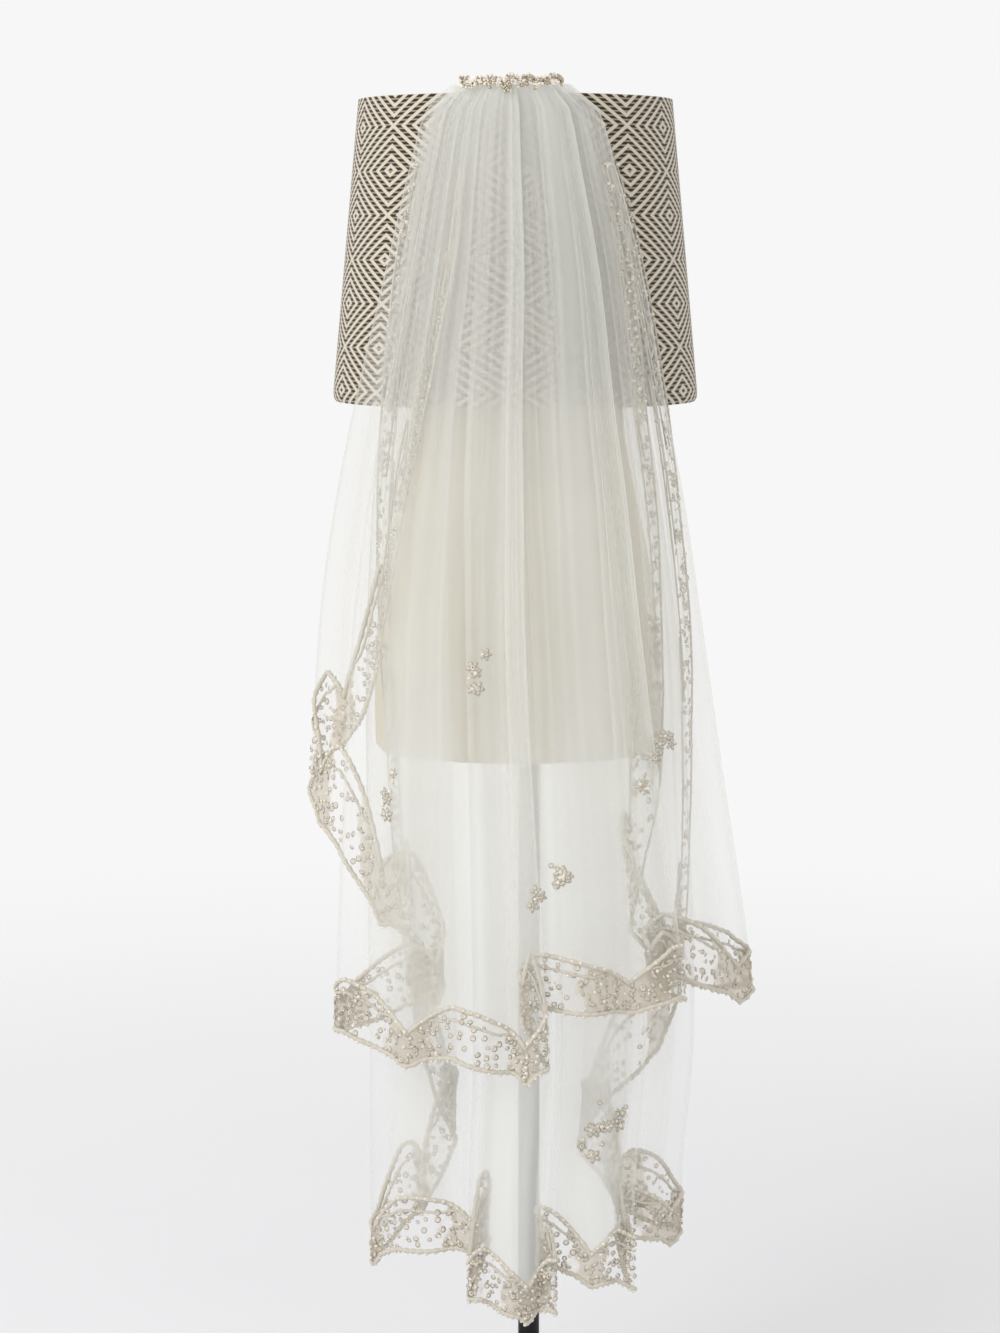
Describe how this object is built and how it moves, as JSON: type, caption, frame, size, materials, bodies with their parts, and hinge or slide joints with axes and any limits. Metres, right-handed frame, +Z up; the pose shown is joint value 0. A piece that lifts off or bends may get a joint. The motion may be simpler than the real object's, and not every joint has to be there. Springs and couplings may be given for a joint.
{
  "type": "two-tier bridal veil on a dress-form stand",
  "caption": "Ivory tulle bridal veil in two tiers with scalloped beaded lace edging and a beaded comb, hung over the patterned drum shade of a padded dress-form stand",
  "frame": {"origin": "on the underside of the base, under the middle of the pole", "axes": "+Z up, +X to the right seen from the front, front of the veil towards -Y"},
  "size_m": [0.4798, 0.496, 1.4916],
  "materials": {
    "tulle": "soft sheer net",
    "lace": "corded beaded lace",
    "beads": "pearl and crystal",
    "comb": "clear ivory",
    "shade_cloth": "diamond twill",
    "form_cloth": "cream jersey",
    "black_metal": "satin black powder coat",
    "wire": "plated wire"
  },
  "bodies": {
    "root": {"stand_base": "black_metal", "stand_pole": "black_metal", "form_body": "form_cloth", "shade_drum": "shade_cloth", "shade_spider": "wire", "shade_rod": "wire", "comb": "comb", "bead_band": "beads", "tulle_lower": "tulle", "lace_lower": "lace", "tulle_upper": "tulle", "lace_upper": "lace"}
  },
  "joints": []
}
